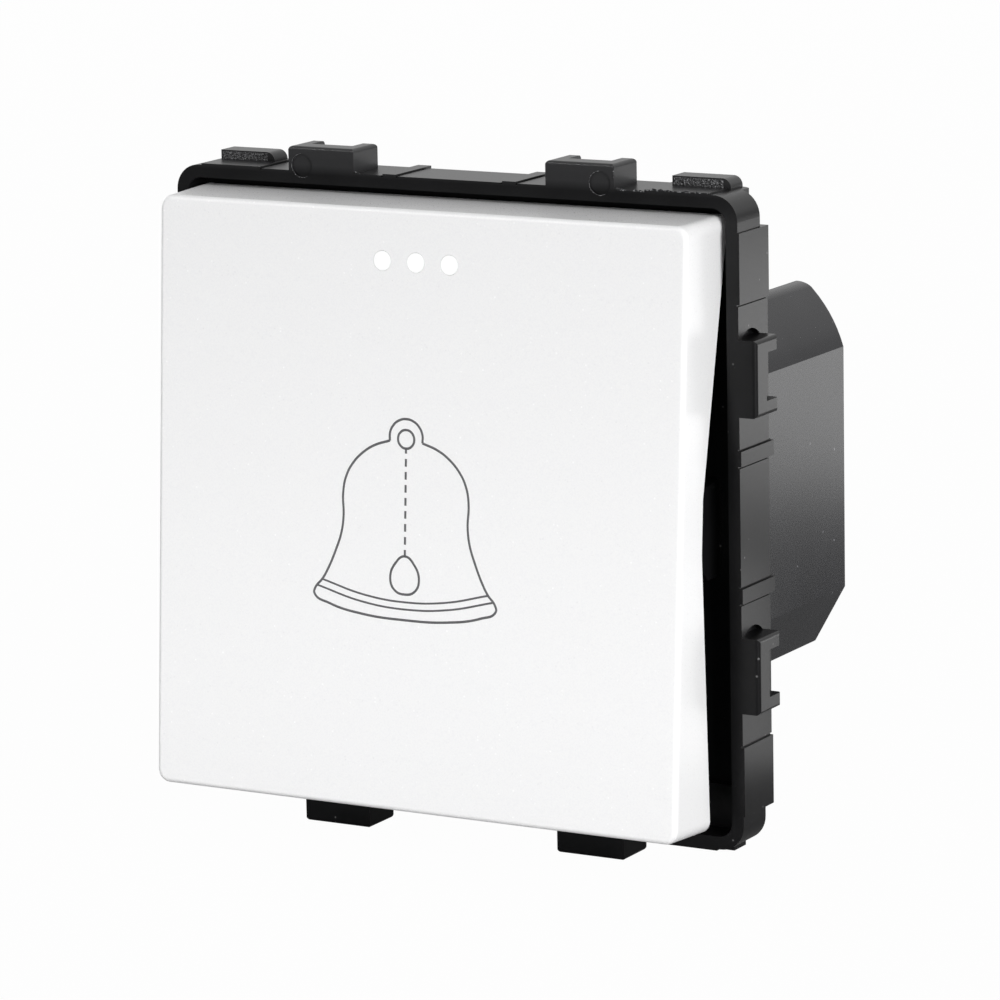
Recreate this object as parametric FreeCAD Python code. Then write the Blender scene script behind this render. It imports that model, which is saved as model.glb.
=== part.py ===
import FreeCAD, Part
import math
import os

from FreeCAD import Vector

# Bell push mechanism for a wall frame, in millimetres.
# +X is right, +Z is up and the button faces -Y. The origin is the centre of
# the mounting frame's front plane.

# How far an added shape reaches into the body that it joins, and how far a cutting
# shape runs past a face
root = 0.3
past = 1.0

# Rocker cap, measured level about its pivot axis
cap_width = 44.0
cap_height = 44.25
cap_wall = 1.2
cap_corner_radius = 1.0
cap_edge_radius = 0.4
cap_face_to_pivot = 4.1
skirt_depth_top = 6.15
skirt_depth_middle = 3.2
skirt_depth_bottom = 5.4
skirt_flat_top = 2.4
skirt_flat_bottom = -1.6
gusset_thickness = 0.8
gusset_size = 1.7
gusset_pitch = 8.6
snap_post_radius = 1.3
snap_post_x = 11.0
snap_post_z = 13.0
snap_head_overhang = 0.3
snap_head_height = 0.6
snap_slot = 0.5
snap_hole_play = 0.08

# Pivot and travel of the rocker
pivot_depth = -2.15
rest_tilt = -3.9
press_angle = 5.5
trunnion_radius = 1.3
trunnion_play = 0.05
trunnion_end_gap = 0.1

# Rocker carrier, behind the cap
carrier_thickness = 1.2
carrier_side_gap = 2.2
carrier_end_gap = 2.325
carrier_corner_radius = 2.0
carrier_gap = 0.05
carrier_notch_gap = 0.3
carrier_window_margin = 1.5
carrier_window_half_height = 8.5
carrier_window_radius = 1.2
carrier_rib_thickness = 0.8
carrier_rib_height = 0.7
carrier_rib_inner = 5.8
carrier_rib_outer = 16.1
cheek_thickness = 1.3
cheek_half_width = 3.4
cheek_radius = 2.0
finger_drop = 8.0
finger_width = 3.0
finger_tip_radius = 1.0
finger_reach = 1.2
finger_rib_thickness = 1.2
finger_rib_length = 5.5
spring_peg_play = 0.25
spring_peg_taper = 0.35
spring_peg_height = 1.3

# Indicator lenses in the cap's face
lens_radius = 0.75
lens_pitch = 2.8
lens_height = 18.3
lens_fit = 0.03
guide_thickness = 1.2
guide_half_width = 4.6
guide_margin = 1.4
guide_stem_half_width = 2.8
guide_entry_height = 10.5
guide_entry_radius = 1.9
guide_entry_length = 1.4
guide_entry_round = 0.5

# Mounting frame
frame_width = 47.0
frame_height = 47.9
frame_depth = 4.65
frame_corner_radius = 1.9
frame_rim = 0.95
frame_inner_radius = 1.1
corner_depth = 3.55
corner_cut_x = 22.1
corner_cut_z = 21.3
deck_front = 2.6
deck_thickness = 1.5
pad_start = 16.1
pad_end = 21.3
pad_height = 0.12
tab_start = 4.4
tab_end = 5.65
tab_reach = 0.55
seam_width = 0.14
seam_depth = 0.12
ear_start = 16.9
ear_end = 21.6
ear_front = 2.8
ear_height = 0.8
ear_radius = 0.7
ear_shift = 0.3

# Clip hooks, two on each side of the frame
clip_offset = 10.85
clip_width = 5.6
clip_front_wall = 1.65
clip_leg = 1.05
clip_depth = 3.5
clip_proud_side = 1.38
clip_proud_end = 1.8
clip_edge_radius = 0.3
relief_radius = 2.1
relief_rise = 0.6
relief_middle = 1.9
relief_depth = 0.5
pin_mark_radius = 0.87
pin_mark_depth = 0.12
pin_mark_shift = 1.65
pin_mark_rise = 0.38

# Bearing lugs, stops and guides on the deck
lug_thickness = 1.4
lug_radius = 2.2
lug_side_gap = 0.3
lug_buttress = 2.0
lug_buttress_start = 0.6
lug_flare = 0.8
stop_x = 12.0
stop_z = 16.8
stop_width = 3.0
stop_thickness = 1.2
stop_gap = 0.03
stop_web_half = 1.6
stop_web_setback = 1.5
guide_boss_radius = 3.1
guide_boss_height = 1.2
spring_ring_wall = 0.7
spring_ring_gap = 0.3
spring_ring_shared = 0.18
deck_rib_thickness = 0.8
deck_rib_height = 0.7
deck_rib_x = 6.8
deck_rib_z = 20.0
lamp_window_half_width = 3.4
lamp_window_half_height = 2.1
lamp_window_radius = 0.6
cover_post_radius = 1.4
cover_post_side_gap = 5.4
cover_post_high = 9.2
cover_post_low = -7.4

# Rear housing
housing_half_width = 22.0
housing_top = 14.8
housing_bottom = -12.8
housing_back = 20.45
top_chamfer_x = 2.9
top_chamfer_z = 4.9
bottom_chamfer_x = 2.5
bottom_chamfer_z = 4.4
chamfer_follow = 0.55
housing_wall = 1.6
housing_lip_wall = 1.25
housing_edge_radius = 0.4
housing_top_radius = 1.4
crest_width = 2.2
dip_depth = 1.5
dip_start = 11.0
latch_side_gap = 7.5
latch_width = 4.0
latch_thickness = 1.1
latch_hook = 0.6
latch_hook_height = 1.0
latch_hook_land = 0.3
latch_arm_root = 1.5
latch_inset = 0.1
latch_play = 0.05
latch_window_gap = 0.2
shelf_thickness = 1.2
shelf_inset = 0.6
partition_thickness = 1.4
anchor_thickness = 1.2

# Contact cover, the plate over the contact chamber
cover_front = 7.6
cover_thickness = 1.2
cover_fit = 0.15
hold_down_width = 4.4
hold_down_thickness = 1.4

# Plunger
plunger_radius = 1.7
plunger_play = 0.08
plunger_gap = 0.02
plunger_tip_round = 0.4
plunger_flange_radius = 3.0
plunger_flange_thickness = 0.85
plunger_tail_radius = 1.2
plunger_pin_radius = 0.95
plunger_head_radius = 1.5
plunger_head_height = 0.6

# Contacts
bridge_past_tip = 1.6
bridge_width = 3.0
bridge_thickness = 0.6
bridge_corner_radius = 1.2
bridge_front = 9.4
tip_inset = 1.0
tip_radius = 1.2
tip_face_radius = 0.8
tip_bevel = 0.25
tip_height = 0.6
tip_shank_radius = 0.6
tip_fit = 0.02
contact_gap_left = 0.05
strip_thickness = 0.8
strip_bend_radius = 0.5
arm_half_width = 2.1
arm_below = 1.6

# Push-in terminals, the right one; the left one is its mirror image
busbar_side_gap = 1.8
busbar_width = 9.0
busbar_top = -5.4
busbar_back = 17.3
wire_inset = 2.0
wire_pitch = 4.6
wire_height = -4.2
wire_hole_radius = 1.45
wire_wall = 3.0
wire_funnel = 0.5
clamp_thickness = 0.35
clamp_inset_inner = 0.4
clamp_inset_outer = 0.6
clamp_fold_radius = 1.0
clamp_fold_height = 2.6
clamp_fold_depth = 16.2
clamp_tip_depth = 13.4
clamp_anchor_depth = 12.9
clamp_seat_gap = 0.05

# Release buttons of the terminals
release_half_width = 2.3
release_low = -1.8
release_high = 1.0
release_gap = 0.1
release_proud = 0.45
release_fit = 0.12
release_corner = 0.3
release_flange = 0.3
release_flange_thickness = 0.8
release_slot_width = 0.8
release_slot_depth = 0.6
release_slot_margin = 0.7
release_seat_gap = 0.05

# Springs
return_spring_radius = 2.2
return_spring_wire = 0.28
return_spring_turns = 4
plunger_spring_radius = 2.0
plunger_spring_wire = 0.2
plunger_spring_turns = 2
spring_seat_gap = 0.03

# Indicator lamp
board_half_width = 8.0
board_low = 4.6
board_high = 12.4
board_thickness = 1.0
rail_thickness = 1.0
rail_gap = 0.1
rail_rise = 0.4
board_post_radius = 0.9
board_post_x = 3.6
board_post_z = 5.6
led_half_width = 1.75
led_half_height = 1.4
led_thickness = 1.9
led_lens_radius = 1.15
led_lens_front_radius = 0.8
led_lens_height = 0.35
resistor_length = 3.2
resistor_width = 1.6
resistor_thickness = 0.55
resistor_x = -3.2
resistor_z = 8.0
lead_x = 6.2
lead_z = 7.2
lead_radius = 0.3
lead_fit = 0.05
lead_proud = 0.4
lead_depth = 12.6


# Basic shapes


def block(x0, x1, y0, y1, z0, z1):
    return Part.makeBox(x1 - x0, y1 - y0, z1 - z0, Vector(x0, y0, z0))


def rod(radius, start, end):
    line = end.sub(start)
    return Part.makeCylinder(radius, line.Length, start, line)


def cone_along_y(radius0, radius1, x, z, y0, y1):
    return Part.makeCone(radius0, radius1, y1 - y0, Vector(x, y0, z), Vector(0, 1, 0))


def disc_along_y(radius, x, z, y0, y1):
    return rod(radius, Vector(x, y0, z), Vector(x, y1, z))


def edges_along(shape, direction):
    found = []
    for edge in shape.Edges:
        if isinstance(edge.Curve, Part.Line):
            tangent = edge.tangentAt(edge.FirstParameter)
            if abs(tangent.dot(direction)) > 0.999:
                found.append(edge)
    return found


def rounded_prism(half_width, bottom, top, radius, y0, y1):
    plate = block(-half_width, half_width, y0, y1, bottom, top)
    return plate.makeFillet(radius, edges_along(plate, Vector(0, 1, 0)))


def prism_along_x(points, x0, x1):
    corners = [Vector(x0, y, z) for y, z in points]
    outline = Part.makePolygon(corners + corners[:1])
    return Part.Face(outline).extrude(Vector(x1 - x0, 0, 0))


def prism_along_y(points, y0, y1):
    corners = [Vector(x, y0, z) for x, z in points]
    outline = Part.makePolygon(corners + corners[:1])
    return Part.Face(outline).extrude(Vector(0, y1 - y0, 0))


def mirrored_x(shape):
    return shape.mirror(Vector(0, 0, 0), Vector(1, 0, 0))


def both_sides(shape):
    return [shape, mirrored_x(shape)]


def joined(shapes):
    whole = shapes[0].fuse(shapes[1:]) if len(shapes) > 1 else shapes[0]
    return whole.removeSplitter()


def half_turn(radius, wire_radius, side, start, rise, x, z):
    # One half of a turn, from one side to the other, in a plane that leans with the rise
    section = Part.Face(
        Part.Wire(
            Part.makeCircle(wire_radius, Vector(x + side * radius, start, z), Vector(0, 0, 1))
        )
    )
    middle = Vector(x, start + rise / 2, z)
    return section.revolve(middle, Vector(side * rise, 2 * radius, 0), 180)


def coil(radius, wire_radius, turns, y0, y1, x, z):
    # A compression spring with a flat half turn at each end; its half turns lean one way
    # and the other, and so meet at a tangent
    start = y0 + wire_radius
    end = y1 - wire_radius
    rise = (end - start) / (2 * turns)
    halves = [half_turn(radius, wire_radius, -1, start, 0, x, z)]
    for k in range(2 * turns):
        side = 1 if k % 2 == 0 else -1
        halves.append(half_turn(radius, wire_radius, side, start + k * rise, rise, x, z))
    halves.append(half_turn(radius, wire_radius, 1, end, 0, x, z))
    return joined(halves)


def tube_through(points, radius):
    pieces = []
    for start, end in zip(points, points[1:]):
        pieces.append(rod(radius, start, end))
    for corner in points[1:-1]:
        pieces.append(Part.makeSphere(radius, corner))
    return joined(pieces)


def at_pivot(shape, tilt=rest_tilt):
    placed = shape.copy()
    placed.rotate(Vector(0, 0, 0), Vector(1, 0, 0), tilt)
    placed.translate(Vector(0, pivot_depth, 0))
    return placed


# Values that several pieces share

deck_back = deck_front + deck_thickness
cover_back = cover_front + cover_thickness
cap_front = -cap_face_to_pivot
cap_inside = cap_front + cap_wall
cap_inner_half = cap_width / 2 - cap_wall
carrier_front = cap_inside + carrier_gap
carrier_back = carrier_front + carrier_thickness
carrier_half_width = cap_inner_half - carrier_side_gap
carrier_half_height = cap_height / 2 - cap_wall - carrier_end_gap
cheek_inner_face = carrier_half_width - cheek_thickness
lug_outer = cap_inner_half - lug_side_gap
lug_inner = lug_outer - lug_thickness
press_travel = math.radians(press_angle) * finger_drop
spring_ring_inner = return_spring_radius + return_spring_wire + spring_ring_gap
spring_ring_outer = spring_ring_inner + spring_ring_wall
spring_drop = finger_drop + guide_boss_radius + spring_ring_outer - spring_ring_shared
plunger_tip = (
    at_pivot(Part.Vertex(0, finger_reach, -finger_drop)).Point.y
    + finger_tip_radius
    + plunger_gap
)
bridge_back = bridge_front + bridge_thickness
fixed_tip_face = bridge_back + tip_height + press_travel + contact_gap_left
strip_front = fixed_tip_face + tip_height
strip_back = strip_front + strip_thickness
busbar_outer = housing_half_width - housing_wall - busbar_side_gap
busbar_inner = busbar_outer - busbar_width
wire_x_inner = busbar_inner + wire_inset
wire_xs = [wire_x_inner, wire_x_inner + wire_pitch]
release_x = wire_x_inner + wire_pitch / 2
clamp_inner = busbar_inner + clamp_inset_inner
clamp_outer = busbar_outer - clamp_inset_outer
tip_x = busbar_inner - tip_inset
bridge_half_length = tip_x + bridge_past_tip
latch_x = housing_half_width - latch_side_gap
cover_post_x = housing_half_width - cover_post_side_gap
rear_inside = housing_back - housing_wall
wire_wall_front = housing_back - wire_wall


def rocker_cap():
    half = cap_height / 2
    shell = rounded_prism(
        cap_width / 2, -half, half, cap_corner_radius, cap_front, cap_front + skirt_depth_top
    )
    front_edges = [e for e in shell.Edges if abs(e.CenterOfMass.y - cap_front) < 0.001]
    shell = shell.makeFillet(cap_edge_radius, front_edges)
    hollow = rounded_prism(
        cap_inner_half,
        -half + cap_wall,
        half - cap_wall,
        cap_corner_radius - cap_edge_radius,
        cap_inside,
        cap_front + skirt_depth_top + past,
    )
    cap = shell.cut(hollow)
    # The skirt is shallowest at the pivot and deepens towards both ends
    rear = cap_front + skirt_depth_top + 2 * past
    slope_top = (skirt_depth_top - skirt_depth_middle) / (half - skirt_flat_top)
    waste = prism_along_x(
        [
            (cap_front + skirt_depth_bottom, -half - past),
            (cap_front + skirt_depth_bottom, -half),
            (cap_front + skirt_depth_middle, skirt_flat_bottom),
            (cap_front + skirt_depth_middle, skirt_flat_top),
            (cap_front + skirt_depth_top + slope_top * past, half + past),
            (rear, half + past),
            (rear, -half - past),
        ],
        -cap_width,
        cap_width,
    )
    cap = cap.cut(waste)
    details = []
    rows = [k * gusset_pitch for k in (-2, -1, 1, 2)]
    for position in rows:
        start = position - gusset_thickness / 2
        end = position + gusset_thickness / 2
        side = Part.makePolygon(
            [
                Vector(cap_inner_half, cap_inside, start),
                Vector(cap_inner_half - gusset_size, cap_inside, start),
                Vector(cap_inner_half, cap_inside + gusset_size, start),
                Vector(cap_inner_half, cap_inside, start),
            ]
        )
        details += both_sides(Part.Face(side).extrude(Vector(0, 0, gusset_thickness)))
        wall = half - cap_wall
        for sign in (-1, 1):
            corner = [
                (cap_inside, sign * wall),
                (cap_inside, sign * (wall - gusset_size)),
                (cap_inside + gusset_size, sign * wall),
            ]
            details.append(prism_along_x(corner, start, end))
    for x in (-snap_post_x, snap_post_x):
        for z in (-snap_post_z, snap_post_z):
            shoulder = carrier_back + lens_fit
            post = disc_along_y(snap_post_radius, x, z, cap_inside, shoulder)
            head_radius = snap_post_radius + snap_head_overhang
            head = cone_along_y(
                head_radius, snap_post_radius, x, z, shoulder, shoulder + snap_head_height
            )
            split = block(
                x - snap_slot / 2,
                x + snap_slot / 2,
                cap_inside + root,
                shoulder + snap_head_height + past,
                z - head_radius - past,
                z + head_radius + past,
            )
            details.append(post.fuse(head).cut(split))
    cap = joined([cap] + details)
    for k in (-1, 0, 1):
        cap = cap.cut(
            disc_along_y(
                lens_radius, k * lens_pitch, lens_height, cap_front - past, cap_inside + past
            )
        )
    return at_pivot(cap)


def light_guide():
    bar_low = lens_height - guide_margin
    bar_high = lens_height + guide_margin
    back = cap_inside + guide_thickness
    pieces = [
        block(
            -guide_half_width,
            guide_half_width,
            cap_inside + lens_fit,
            back,
            bar_low,
            bar_high,
        ),
        block(
            -guide_stem_half_width,
            guide_stem_half_width,
            cap_inside + lens_fit,
            back,
            guide_entry_height - guide_entry_radius,
            bar_low,
        ),
        disc_along_y(
            guide_entry_radius, 0, guide_entry_height, back, back + guide_entry_length
        ),
    ]
    for k in (-1, 0, 1):
        pieces.append(
            disc_along_y(
                lens_radius - lens_fit, k * lens_pitch, lens_height, cap_front, cap_inside + root
            )
        )
    guide = joined(pieces)
    rim = [
        e
        for e in guide.Edges
        if abs(e.CenterOfMass.y - back - guide_entry_length) < 0.001
    ]
    return at_pivot(guide.makeFillet(guide_entry_round, rim))


def rocker_carrier():
    plate = rounded_prism(
        carrier_half_width,
        -carrier_half_height,
        carrier_half_height,
        carrier_corner_radius,
        carrier_front,
        carrier_back,
    )
    front = carrier_front - past
    rear = carrier_back + past
    notch_half = guide_half_width + carrier_notch_gap
    notch_low = guide_entry_height - guide_entry_radius - carrier_notch_gap
    plate = plate.cut(
        block(-notch_half, notch_half, front, rear, notch_low, carrier_half_height + past)
    )
    # Two lightening windows beside the finger, and four holes for the cap's posts
    window = block(
        finger_width + carrier_window_margin,
        cheek_inner_face - carrier_window_margin,
        front,
        rear,
        -carrier_window_half_height,
        carrier_window_half_height,
    )
    window = window.makeFillet(carrier_window_radius, edges_along(window, Vector(0, 1, 0)))
    for opening in both_sides(window):
        plate = plate.cut(opening)
    for x in (-snap_post_x, snap_post_x):
        for z in (-snap_post_z, snap_post_z):
            plate = plate.cut(disc_along_y(snap_post_radius + snap_hole_play, x, z, front, rear))
    pieces = [plate]
    # Cheeks with the trunnions
    cheek_profile = [
        (carrier_back - root, -cheek_half_width),
        (0, -cheek_radius),
        (0, cheek_radius),
        (carrier_back - root, cheek_half_width),
    ]
    cheek = prism_along_x(cheek_profile, cheek_inner_face, carrier_half_width)
    cheek = cheek.fuse(
        rod(cheek_radius, Vector(cheek_inner_face, 0, 0), Vector(carrier_half_width, 0, 0))
    )
    trunnion = rod(
        trunnion_radius,
        Vector(carrier_half_width - root, 0, 0),
        Vector(lug_outer - trunnion_end_gap, 0, 0),
    )
    pieces += both_sides(cheek.fuse(trunnion))
    # The finger that pushes the plunger, with a round tip and a rib behind it
    finger_half = finger_width / 2
    pieces.append(
        block(
            -finger_half,
            finger_half,
            carrier_back - root,
            finger_reach,
            -finger_drop - finger_tip_radius,
            -finger_drop + finger_tip_radius,
        )
    )
    pieces.append(
        rod(
            finger_tip_radius,
            Vector(-finger_half, finger_reach, -finger_drop),
            Vector(finger_half, finger_reach, -finger_drop),
        )
    )
    rib = [
        (carrier_back - root, -finger_drop),
        (finger_reach - finger_tip_radius, -finger_drop),
        (carrier_back, -finger_drop + finger_rib_length),
        (carrier_back - root, -finger_drop + finger_rib_length),
    ]
    pieces.append(prism_along_x(rib, -finger_rib_thickness / 2, finger_rib_thickness / 2))
    # Peg that keeps the return spring in place
    peg_radius = return_spring_radius - return_spring_wire - spring_peg_play
    peg_end = carrier_back + spring_peg_height
    pieces.append(
        cone_along_y(
            peg_radius,
            peg_radius - spring_peg_taper,
            0,
            -spring_drop,
            carrier_back - root,
            peg_end,
        )
    )
    # Stiffening ribs along the upper and the lower edge
    low = carrier_half_height - carrier_rib_thickness
    for z0, z1 in ((low, carrier_half_height), (-carrier_half_height, -low)):
        pieces += both_sides(
            block(
                carrier_rib_inner,
                carrier_rib_outer,
                carrier_back - root,
                carrier_back + carrier_rib_height,
                z0,
                z1,
            )
        )
    return at_pivot(joined(pieces))


def clip_hook(proud, wall_face):
    # One hook on the top wall, centred on x = 0, with its root inside the wall
    top = wall_face + proud
    half = clip_width / 2
    body = block(-half, half, 0, clip_depth, wall_face - root, top)
    pocket = block(
        -half + clip_leg,
        half - clip_leg,
        clip_front_wall,
        clip_depth + past,
        wall_face,
        top + past,
    )
    body = body.cut(pocket)
    outer_edges = [
        e
        for e in body.Edges
        if abs(e.CenterOfMass.z - top) < 0.001
        and (
            abs(e.CenterOfMass.y) < 0.001
            or abs(e.CenterOfMass.y - clip_depth) < 0.001
            or abs(abs(e.CenterOfMass.x) - half) < 0.001
        )
    ]
    return body.makeFillet(clip_edge_radius, outer_edges)


def side_relief(sign, wall_face):
    # The shallow round-topped pocket above a hook on a side wall; it is made on the top
    # wall, where above a hook is towards -X
    near = sign * clip_offset - clip_width / 2
    floor = wall_face - relief_depth
    centre = Vector(near + relief_radius - relief_rise, relief_middle, floor)
    pocket = Part.makeCylinder(relief_radius, relief_depth + past, centre)
    above = block(
        near - relief_rise,
        near,
        relief_middle - relief_radius,
        relief_middle + relief_radius,
        floor,
        wall_face + past,
    )
    return pocket.common(above)


def around_frame(shape, count_from_top):
    # Turn a shape that was made on the top wall to one of the four walls
    turned = shape.copy()
    turned.rotate(Vector(0, 0, 0), Vector(0, 1, 0), 90 * count_from_top)
    return turned


def wall_half(count_from_top):
    return frame_height / 2 if count_from_top % 2 == 0 else frame_width / 2


def mounting_frame():
    half_w = frame_width / 2
    half_h = frame_height / 2
    frame = rounded_prism(half_w, -half_h, half_h, frame_corner_radius, 0, frame_depth)
    for sx in (-1, 1):
        for sz in (-1, 1):
            xs = sorted((sx * corner_cut_x, sx * (half_w + 1)))
            zs = sorted((sz * corner_cut_z, sz * (half_h + 1)))
            frame = frame.cut(
                block(xs[0], xs[1], corner_depth, frame_depth + past, zs[0], zs[1])
            )
    added = []
    removed = []
    for wall in range(4):
        half = wall_half(wall)
        proud = clip_proud_end if wall % 2 == 0 else clip_proud_side
        for sign in (-1, 1):
            hook = clip_hook(proud, half)
            hook.translate(Vector(sign * clip_offset, 0, 0))
            added.append(around_frame(hook, wall))
            # The same low pads, tabs and hooks stand on all four walls
            low, high = sorted((sign * pad_start, sign * pad_end))
            pad = block(low, high, 0, frame_depth, half - root, half + pad_height)
            added.append(around_frame(pad, wall))
            low, high = sorted((sign * tab_start, sign * tab_end))
            tab = block(
                low,
                high,
                0,
                frame_depth + tab_reach,
                half - frame_rim,
                half + pad_height,
            )
            added.append(around_frame(tab, wall))
            # Fine seams at the foot of the pads and beside the tabs
            for position in (tab_start, tab_end, pad_start):
                seam = block(
                    sign * position - seam_width / 2,
                    sign * position + seam_width / 2,
                    -past,
                    frame_depth + tab_reach + past,
                    half - seam_depth,
                    half + pad_height + past,
                )
                removed.append(around_frame(seam, wall))
            if wall == 0:
                mark = disc_along_y(
                    pin_mark_radius,
                    sign * (clip_offset + pin_mark_shift),
                    half + pin_mark_rise,
                    -past,
                    pin_mark_depth,
                )
                removed.append(mark)
            if wall % 2 == 0:
                # Both ears are rounded at the same end, so the pair isn't mirrored
                low = ear_start if sign > 0 else ear_shift - ear_end
                high = low + ear_end - ear_start
                ear = block(low, high, ear_front, frame_depth, half - root, half + ear_height)
                outer = [
                    e
                    for e in edges_along(ear, Vector(0, 1, 0))
                    if e.CenterOfMass.z > half and e.CenterOfMass.x > high - 0.01
                ]
                added.append(around_frame(ear.makeFillet(ear_radius, outer), wall))
            else:
                removed.append(around_frame(side_relief(sign, half), wall))
    frame = joined([frame] + added)
    for shape in removed:
        frame = frame.cut(shape)
    inner_w = half_w - frame_rim
    inner_h = half_h - frame_rim
    recess = rounded_prism(inner_w, -inner_h, inner_h, frame_inner_radius, -past, deck_front)
    under = rounded_prism(
        inner_w, -inner_h, inner_h, frame_inner_radius, deck_back, frame_depth + past
    )
    frame = frame.cut(recess).cut(under)
    frame = joined([frame] + deck_details())
    for shape in deck_openings():
        frame = frame.cut(shape)
    return frame


def deck_details():
    sunk = deck_front + root
    pieces = []
    # Bearing lugs round the trunnions, with a buttress below
    lug = prism_along_x(
        [
            (sunk, -lug_radius - lug_buttress),
            (pivot_depth + lug_radius + lug_buttress_start, -lug_radius - lug_buttress),
            (pivot_depth + lug_buttress_start, -lug_radius),
            (pivot_depth, -lug_radius),
            (pivot_depth, lug_radius),
            (sunk, lug_radius + lug_flare),
        ],
        lug_inner,
        lug_outer,
    )
    eye = rod(lug_radius, Vector(lug_inner, pivot_depth, 0), Vector(lug_outer, pivot_depth, 0))
    pieces += both_sides(lug.fuse(eye))
    # Stops: the upper pair holds the rocker at rest, the lower pair ends the press
    for sz, tilt in ((1, rest_tilt), (-1, rest_tilt + press_angle)):
        touch = at_pivot(Part.Vertex(0, carrier_back, sz * stop_z), tilt).Point.y
        slope = math.tan(math.radians(abs(tilt))) * stop_thickness / 2
        tip = touch + stop_gap + slope
        for x in (-stop_x, stop_x):
            post = block(
                x - stop_width / 2,
                x + stop_width / 2,
                tip,
                sunk,
                sz * stop_z - stop_thickness / 2,
                sz * stop_z + stop_thickness / 2,
            )
            web = block(
                x - stop_thickness / 2,
                x + stop_thickness / 2,
                tip + stop_web_setback,
                sunk,
                sz * stop_z - stop_web_half,
                sz * stop_z + stop_web_half,
            )
            pieces += [post, web]
    # Guide for the plunger and ring for the return spring
    boss_front = deck_front - guide_boss_height
    pieces.append(disc_along_y(guide_boss_radius, 0, -finger_drop, boss_front, sunk))
    ring = disc_along_y(spring_ring_outer, 0, -spring_drop, boss_front, sunk)
    hollow = disc_along_y(spring_ring_inner, 0, -spring_drop, boss_front - past, deck_front)
    ring = ring.cut(hollow)
    pieces.append(ring)
    # Low ribs that stiffen the deck
    rib_w = frame_width / 2 - frame_rim + root
    top = deck_front - deck_rib_height
    half = deck_rib_thickness / 2
    for z in (-deck_rib_z, deck_rib_z):
        pieces.append(block(-rib_w, rib_w, top, sunk, z - half, z + half))
    for x in (-deck_rib_x, deck_rib_x):
        pieces.append(block(x - half, x + half, top, sunk, -deck_rib_z, deck_rib_z))
    # Posts behind the deck, against the contact cover and the lamp board
    for x in (-cover_post_x, cover_post_x):
        for z in (cover_post_low, cover_post_high):
            pieces.append(disc_along_y(cover_post_radius, x, z, deck_back - root, cover_front))
    for x in (-board_post_x, board_post_x):
        pieces.append(
            disc_along_y(
                board_post_radius, x, board_post_z, deck_back - root, cover_front - board_thickness
            )
        )
    return pieces


def deck_openings():
    front = deck_front - guide_boss_height - past
    rear = deck_back + past
    bore = rod(
        trunnion_radius + trunnion_play,
        Vector(lug_inner - trunnion_end_gap, pivot_depth, 0),
        Vector(lug_outer + trunnion_end_gap, pivot_depth, 0),
    )
    shapes = both_sides(bore)
    shapes.append(disc_along_y(plunger_radius + plunger_play, 0, -finger_drop, front, rear))
    window = block(
        -lamp_window_half_width,
        lamp_window_half_width,
        front,
        rear,
        guide_entry_height - lamp_window_half_height,
        guide_entry_height + lamp_window_half_height,
    )
    shapes.append(window.makeFillet(lamp_window_radius, edges_along(window, Vector(0, 1, 0))))
    gap = latch_window_gap
    for x0, x1, z0, z1 in latch_spans():
        shapes.append(block(x0 - gap, x1 + gap, front, rear, z0 - gap, z1 + gap))
    return shapes


def latch_spans():
    # Each latch arm stands in line with the housing's wall; its hook points inwards
    spans = []
    for x in (-latch_x, latch_x):
        x0 = x - latch_width / 2
        x1 = x + latch_width / 2
        top = housing_top - latch_inset
        low = housing_bottom + latch_inset
        spans.append((x0, x1, top - latch_thickness, top))
        spans.append((x0, x1, low, low + latch_thickness))
    return spans


def housing_outline(inset):
    # The section across the depth: a box with its four long edges cut off; an inset
    # section keeps about the same wall at the cut edges
    w = housing_half_width - inset
    top = housing_top - inset
    low = housing_bottom + inset
    shift = inset * chamfer_follow
    top_x = w - top_chamfer_x + shift
    top_z = top - top_chamfer_z + shift
    low_x = w - bottom_chamfer_x + shift
    low_z = low + bottom_chamfer_z - shift
    return [
        (-top_x, top),
        (top_x, top),
        (w, top_z),
        (w, low_z),
        (low_x, low),
        (-low_x, low),
        (-w, low_z),
        (-w, top_z),
    ]


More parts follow.
